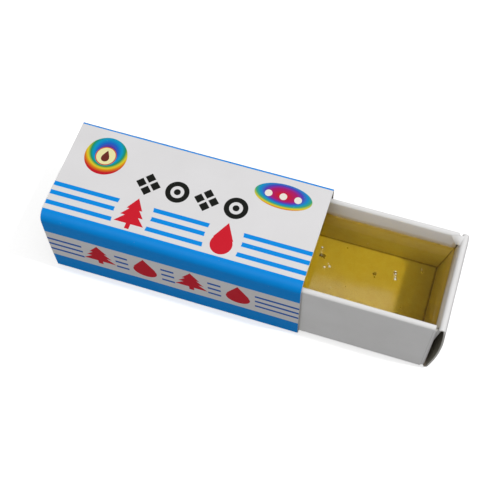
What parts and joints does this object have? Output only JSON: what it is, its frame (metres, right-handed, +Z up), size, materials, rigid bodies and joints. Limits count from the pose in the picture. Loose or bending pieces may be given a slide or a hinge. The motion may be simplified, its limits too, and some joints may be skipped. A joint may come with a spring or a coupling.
{
  "type": "rosin cake",
  "caption": "Cake of amber bow rosin poured into a rolled-rim board tray that slides through an open-ended printed carton sleeve.",
  "frame": {"origin": "middle of the outside of the sleeve's bottom panel, the face the part stands on", "axes": "+X along the sleeve and the way the tray is drawn out at rest, +Y from the soft-folded front panel to the seamed back panel, +Z up"},
  "size_m": [0.0916, 0.026, 0.024],
  "materials": {
    "printed_board": "satin",
    "white_board": "satin",
    "seam_glue": "matte",
    "rosin": "polished"
  },
  "bodies": {
    "sleeve": {"sleeve_top_panel": "printed_board", "sleeve_front_panel": "printed_board", "sleeve_bottom_panel": "printed_board", "sleeve_back_panel": "printed_board", "sleeve_glue_flap": "printed_board", "sleeve_seam_glue": "seam_glue"},
    "tray": {"tray_base_panel": "white_board", "front_wall_outer": "white_board", "front_wall_rollover": "white_board", "back_wall_outer": "white_board", "back_wall_rollover": "white_board", "right_end_outer": "white_board", "right_end_rollover": "white_board", "left_end_outer": "white_board", "left_end_rollover": "white_board", "front_right_dust_flap": "white_board", "front_left_dust_flap": "white_board", "back_right_dust_flap": "white_board", "back_left_dust_flap": "white_board", "rosin_cake": "rosin"}
  },
  "joints": [
    {"name": "tray_slide", "type": "slide", "parent": "sleeve", "child": "tray", "axis": [1, 0, 0], "range_m": [-0.0916, 0.0284]}
  ]
}
